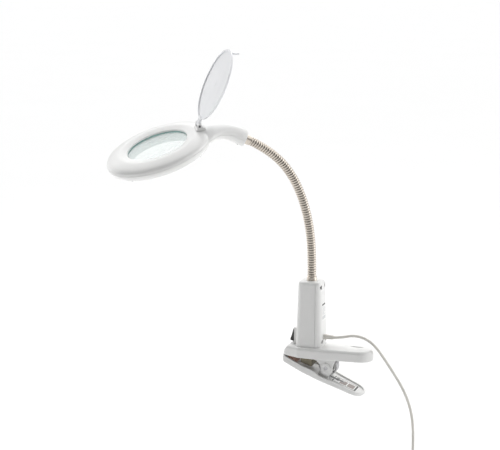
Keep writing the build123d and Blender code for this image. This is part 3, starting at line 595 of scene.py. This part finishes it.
class LAMP_OT_head(bpy.types.Operator):
    """Finish the ring, neck and hinge of the head, with its lamps behind their diffuser"""

    bl_idname = "lamp.head"
    bl_label = "Head"

    def execute(self, context):
        white = shell_plastic(context)
        for node in ("head_upper_shell", "head_lower_shell", "hinge_bracket"):
            dress(node, white)
        dress("lens_retainer", surface("retainer_plastic", (0.62, 0.64, 0.64), (0.58, 0.60, 0.60),
                                       rough=(0.35, 0.45)))
        dress("led_board", surface("board_green", (0.10, 0.30, 0.16), (0.07, 0.24, 0.12),
                                   mottle=300, rough=(0.4, 0.5)))
        dress("leds", surface("lamp_phosphor", (0.90, 0.80, 0.36), (0.84, 0.72, 0.28),
                              mottle=900, rough=(0.3, 0.4)))
        dress("led_diffuser", surface("diffuser_frosted", (0.86, 0.87, 0.87), (0.82, 0.83, 0.83),
                                      rough=(0.45, 0.55), grain=1200, bump=0.2, Transmission_Weight=0.35))
        for node in ("head_screws", "neck_set_screw", "hinge_pin"):
            dress(node, dark_screw())
        return {"FINISHED"}


class LAMP_OT_lens(bpy.types.Operator):
    """Grind the round lens, with its tinted edge"""

    bl_idname = "lamp.lens"
    bl_label = "Lens"

    def execute(self, context):
        place = head_place()
        spread = points_of("lens") - np.array(place.translation)
        axis = np.array(place.to_3x3().col[2])
        high = np.abs(spread @ axis).max()
        radius = np.linalg.norm(spread - np.outer(spread @ axis, axis), axis=1).max()
        bulge = high - LENS_EDGE_HALF
        ball = (radius**2 + bulge**2) / (2 * bulge)
        upper = []
        for i in range(LENS_ROWS):
            r = radius * (1 - i / LENS_ROWS)
            upper.append((r, LENS_EDGE_HALF + bulge - ball + math.sqrt(ball**2 - r**2)))
        profile = [(r, -z) for r, z in reversed(upper)] + upper
        points = []
        for r, z in profile:
            for j in range(LENS_AROUND):
                a = 2 * math.pi * j / LENS_AROUND
                points.append(place @ Vector((r * math.cos(a), r * math.sin(a), z)))
        faces = grid_faces(len(profile), LENS_AROUND)
        bottom, top = len(points), len(points) + 1
        points.append(place @ Vector((0, 0, -high)))
        points.append(place @ Vector((0, 0, high)))
        last = (len(profile) - 1) * LENS_AROUND
        for j in range(LENS_AROUND):
            faces.append((bottom, (j + 1) % LENS_AROUND, j))
            faces.append((top, last + j, last + (j + 1) % LENS_AROUND))
        glass = surface("lens_glass", (0.93, 0.985, 0.975), (0.92, 0.98, 0.97), mottle=20,
                        rough=(0.0, 0.015), bump=0.0, Transmission_Weight=1.0, IOR=1.52)
        tone = tuple(finish_of(context).glass_edge)
        ground = surface("lens_ground_edge", tone, shade(tone, 0.8), mottle=200, rough=(0.35, 0.5),
                         grain=3000, bump=0.2)
        lens = new_piece("lens_ground", points, faces, glass, "head")
        lens.data.materials.append(ground)
        for i in range(LENS_AROUND):
            lens.data.polygons[(LENS_ROWS - 1) * LENS_AROUND + i].material_index = 1
        tidy_normals(lens)
        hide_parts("lens")
        return {"FINISHED"}


class LAMP_OT_lid(bpy.types.Operator):
    """Finish the hinged lid in milky plastic"""

    bl_idname = "lamp.lid"
    bl_label = "Lid"

    def execute(self, context):
        milky = surface("lid_milky", (0.84, 0.85, 0.87), (0.81, 0.82, 0.84), mottle=25, rough=(0.22, 0.28),
                        grain=800, bump=0.03, Subsurface_Weight=0.15,
                        Subsurface_Radius=(0.004, 0.004, 0.004))
        dress("lens_cover", milky)
        return {"FINISHED"}


class LAMP_OT_column(bpy.types.Operator):
    """Finish the two shells of the column and the screws in them"""

    bl_idname = "lamp.column"
    bl_label = "Column"

    def execute(self, context):
        white = shell_plastic(context)
        dress("column_front_shell", white)
        dress("column_rear_cover", white)
        dress("column_screws", dark_screw())
        dress("clamp_screws", dark_screw())
        return {"FINISHED"}


class LAMP_OT_driver(bpy.types.Operator):
    """Finish the electronics inside the column"""

    bl_idname = "lamp.driver"
    bl_label = "Driver"

    def execute(self, context):
        dress("driver_board", surface("driver_green", (0.10, 0.30, 0.16), (0.07, 0.24, 0.12),
                                      mottle=260, rough=(0.4, 0.5)))
        dress("driver_transformer", surface("transformer_tape", (0.62, 0.50, 0.16), (0.56, 0.44, 0.12),
                                            mottle=160))
        dress("driver_capacitors", surface("capacitor_sleeve", (0.05, 0.06, 0.10), (0.04, 0.05, 0.08),
                                           mottle=160))
        dress("cord_terminal", grey_plastic())
        return {"FINISHED"}


class LAMP_OT_switch(bpy.types.Operator):
    """Finish the rocker switch"""

    bl_idname = "lamp.switch"
    bl_label = "Switch"

    def execute(self, context):
        dress("switch_housing", black_plastic())
        dress("switch_rocker", black_plastic())
        return {"FINISHED"}


class LAMP_OT_clip(bpy.types.Operator):
    """Finish the two levers, the pivot pin and the jaw pads"""

    bl_idname = "lamp.clip"
    bl_label = "Clip"

    def execute(self, context):
        white = shell_plastic(context)
        dress("upper_lever", white)
        dress("lower_lever", white)
        dress("pivot_pin", plain_steel())
        front, grip = tuple(finish_of(context).front_pad), tuple(finish_of(context).grip_pad_with_shade)
        dress("lower_jaw_pad", pad_rubber("front_pad_rubber", front, shade(front, 0.85)))
        # The grip pad's dark olive holds painted shade as well as the rubber's own colour.
        dress("upper_jaw_pad", pad_rubber("grip_pad_rubber_and_shade", grip, shade(grip, 0.8)))
        return {"FINISHED"}


class LAMP_OT_spring(bpy.types.Operator):
    """Wind the torsion spring round the pivot, one leg on each lever"""

    bl_idname = "lamp.spring"
    bl_label = "Spring"

    def execute(self, context):
        pivot = Vector(JOINTS["clamp_hinge"]["pos_m"])
        low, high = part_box("torsion_spring")
        wire, radius = SPRING_WIRE, SPRING_RADIUS
        packed = points_of("torsion_spring")
        highest = Vector(packed[np.argmax(packed[:, 2])]) - pivot
        lowest = Vector(packed[np.argmin(packed[:, 2])]) - pivot
        span = high.y - low.y - 2 * wire
        slopes = []
        for tip in (highest, lowest):
            flat = math.hypot(tip.x, tip.z) - wire * SPRING_TIP_SHARE
            slopes.append(math.atan2(abs(tip.z), tip.x) - math.asin(radius / flat) - SPRING_LEG_EASE)
        reach = math.sqrt(highest.x**2 + highest.z**2 - radius**2) - SPRING_LEG_TRIM
        turns = SPRING_TURNS - (slopes[0] + slopes[1]) / (2 * math.pi)
        steel = plain_steel()

        def on_coil(turned):
            """Point at an angle in radians past the start of the coil."""
            a = math.pi / 2 + slopes[0] + turned
            y = span / 2 - span * turned / (2 * math.pi * turns)
            return pivot + Vector((radius * math.cos(a), y, radius * math.sin(a)))

        total = 2 * math.pi * turns
        rising = Vector((math.cos(slopes[0]), 0, math.sin(slopes[0])))
        path = [on_coil(0) + rising * reach * (1 - k / SPRING_LEG_STEPS) for k in range(SPRING_LEG_STEPS)]
        path += [on_coil(total * k / SPRING_STEPS) for k in range(SPRING_STEPS + 1)]
        coil = wire_through("spring_coil", path, wire, steel, "stand")
        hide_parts("torsion_spring")
        path = [on_coil(total - SPRING_SWEEP_BACK * (1 - k / SPRING_SWEEP_STEPS))
                for k in range(SPRING_SWEEP_STEPS + 1)]
        falling = Vector((math.cos(slopes[1]), 0, -math.sin(slopes[1])))
        root = path[-1]
        path += [root + falling * reach * k / SPRING_LEG_STEPS for k in range(1, SPRING_LEG_STEPS + 1)]
        leg = wire_through("spring_leg", path, wire * 1.01, steel, "lower_jaw")
        return {"FINISHED"}


# Plain marks on each label: left, right, low and high as shares of the label, then the ink.
RATING_MARKS = (
    (0.12, 0.88, 0.86, 0.95, 0), (0.12, 0.70, 0.74, 0.77, 1), (0.12, 0.86, 0.66, 0.69, 1),
    (0.12, 0.78, 0.58, 0.61, 1), (0.12, 0.86, 0.50, 0.53, 1), (0.12, 0.60, 0.42, 0.45, 1),
    (0.12, 0.86, 0.34, 0.37, 1), (0.12, 0.46, 0.08, 0.26, 1), (0.56, 0.88, 0.08, 0.26, 1),
)
HANDLE_MARKS = (
    (0.04, 0.96, 0.04, 0.08, 0), (0.04, 0.96, 0.92, 0.96, 0), (0.04, 0.07, 0.04, 0.96, 0),
    (0.90, 0.96, 0.04, 0.96, 0), (0.12, 0.24, 0.40, 0.84, 0), (0.30, 0.56, 0.20, 0.80, 1),
    (0.60, 0.86, 0.20, 0.80, 1),
)


# Each film's name, light tone and dark tone.
FILMS = (
    ("film_white", (0.86, 0.86, 0.85), (0.82, 0.82, 0.81)),
    ("film_black", (0.03, 0.03, 0.03), (0.02, 0.02, 0.02)),
    ("film_taupe", (0.33, 0.28, 0.26), (0.28, 0.24, 0.22)),
    ("film_silver", (0.60, 0.61, 0.62), (0.55, 0.56, 0.57)),
)


def label_frame(node, up):
    """Corner, width and height of the face of a flat label, and the way it faces."""
    points = points_of(node)
    centre = points.mean(0)
    _, _, axes = np.linalg.svd(points - centre, full_matrices=False)
    facing = axes[2] * (1 if np.dot(axes[2], up) > 0 else -1)
    across = np.array((0.0, 1.0, 0.0))
    if abs(facing[0]) > abs(facing[2]):
        wide, high = across, np.cross(facing, across)
    else:
        wide, high = np.cross(across, facing), across
    spans = [(points - centre) @ axis for axis in (wide, high)]
    lift = ((points - centre) @ facing).max() + INK_LIFT
    corner = centre + wide * spans[0].min() + high * spans[1].min() + facing * lift
    return corner, wide * np.ptp(spans[0]), high * np.ptp(spans[1])


def printed(name, frame, marks, inks, body):
    """Thin patches of ink on a label's face."""
    corner, wide, high = frame
    for ink, material in enumerate(inks):
        points, faces = [], []
        for left, right, low, top, choice in marks:
            if choice != ink:
                continue
            faces.append(tuple(range(len(points), len(points) + 4)))
            points += [Vector(corner + wide * a + high * b)
                       for a, b in ((left, low), (right, low), (right, top), (left, top))]
        new_piece(f"{name}_ink_{ink + 1}", points, faces, material, body)


class LAMP_OT_labels(bpy.types.Operator):
    """Lay the plain film labels on the column and in the lower handle"""

    bl_idname = "lamp.labels"
    bl_label = "Labels"

    def execute(self, context):
        white, black, taupe, silver = (
            surface(name, light, dark, mottle=120, rough=(0.35, 0.45)) for name, light, dark in FILMS)
        dress("rating_label", white)
        dress("handle_label", white)
        printed("rating", label_frame("rating_label", (1, 0, 0)), RATING_MARKS, (black, silver), "stand")
        printed("handle", label_frame("handle_label", (0, 0, 1)), HANDLE_MARKS, (black, taupe), "lower_jaw")
        return {"FINISHED"}


class LAMP_OT_stage(bpy.types.Operator):
    """Lay a pale floor and hang the soft studio lights"""

    bl_idname = "lamp.stage"
    bl_label = "Stage"

    def execute(self, context):
        light = sizes_of(context).light
        work = bmesh.new()
        bmesh.ops.create_grid(work, x_segments=8, y_segments=8, size=FLOOR_SIZE)
        mesh = bpy.data.meshes.new("studio_floor")
        work.to_mesh(mesh)
        work.free()
        floor = bpy.data.objects.new("studio_floor", mesh)
        floor.location = (0, 0, CAD_BOX[0][2] - FLOOR_DROP)
        context.scene.collection.objects.link(floor)
        mesh.materials.append(surface("floor_pale", (0.93, 0.93, 0.93), (0.925, 0.925, 0.925), mottle=2.0,
                                      rough=(0.85, 0.95), grain=40, bump=0.02))
        context.scene.view_settings.view_transform = "Standard"
        context.scene.world = studio_world(light)
        for name, place, softness, power in SUNS:
            data = bpy.data.lights.new(name, "SUN")
            data.angle = math.radians(softness)
            data.energy = power * light
            hang_light(context, data, name, place)
        for name, place, size, power in SOFTBOXES:
            data = bpy.data.lights.new(name, "AREA")
            data.shape = "SQUARE"
            data.size = size
            data.energy = power * light
            hang_light(context, data, name, place)
        return {"FINISHED"}


def hang_light(context, data, name, place):
    """Hangs a light and aims it at the middle of the lamp."""
    lamp = bpy.data.objects.new(name, data)
    lamp.location = place
    aim = Vector(LIGHT_AIM) - Vector(place)
    lamp.rotation_euler = aim.to_track_quat("-Z", "Y").to_euler()
    context.scene.collection.objects.link(lamp)


def studio_world(light):
    """A plain grey room, darker in front and pale behind."""
    world = bpy.data.worlds.new("studio_world")
    world.use_nodes = True
    nodes, links = world.node_tree.nodes, world.node_tree.links
    place = nodes.new("ShaderNodeTexCoord")
    split = nodes.new("ShaderNodeSeparateXYZ")
    spread = nodes.new("ShaderNodeMapRange")
    spread.inputs["From Min"].default_value = -0.9
    spread.inputs["From Max"].default_value = 0.7
    spread.inputs["To Min"].default_value = 0.16 * light
    spread.inputs["To Max"].default_value = 0.80 * light
    links.new(place.outputs["Generated"], split.inputs["Vector"])
    links.new(split.outputs["Y"], spread.inputs["Value"])
    links.new(spread.outputs["Result"], nodes["Background"].inputs["Strength"])
    nodes["Background"].inputs["Color"].default_value = (1, 1, 1, 1)
    return world


OPERATORS = (
    LAMP_OT_camera, LAMP_OT_cord, LAMP_OT_hose, LAMP_OT_head, LAMP_OT_lens, LAMP_OT_lid, LAMP_OT_column,
    LAMP_OT_driver, LAMP_OT_switch, LAMP_OT_clip, LAMP_OT_spring, LAMP_OT_labels, LAMP_OT_stage,
)


class LAMP_PT_panel(bpy.types.Panel):
    """Steps that dress the lamp, in order"""

    bl_idname = "LAMP_PT_panel"
    bl_label = "Magnifying Lamp"
    bl_space_type = "VIEW_3D"
    bl_region_type = "UI"
    bl_category = "Magnifying Lamp"

    def draw(self, context):
        for name in ("shell", "hose", "front_pad", "grip_pad_with_shade", "cord", "glass_edge"):
            self.layout.prop(context.scene.lamp_finish, name)
        for name in ("rib_pitch", "rib_depth", "cord_diameter", "light"):
            self.layout.prop(context.scene.lamp_sizes, name)
        for operator in OPERATORS:
            self.layout.operator(operator.bl_idname)


CLASSES = (LampFinish, LampSizes, *OPERATORS, LAMP_PT_panel)


def register():
    for item in CLASSES:
        bpy.utils.register_class(item)
    bpy.types.Scene.lamp_finish = bpy.props.PointerProperty(type=LampFinish)
    bpy.types.Scene.lamp_sizes = bpy.props.PointerProperty(type=LampSizes)


def unregister():
    del bpy.types.Scene.lamp_sizes
    del bpy.types.Scene.lamp_finish
    for item in reversed(CLASSES):
        bpy.utils.unregister_class(item)


def main():
    register()
    for operator in OPERATORS:
        step = operator.bl_idname.split(".")[1]
        getattr(bpy.ops.lamp, step)()


if __name__ == "__main__":
    main()
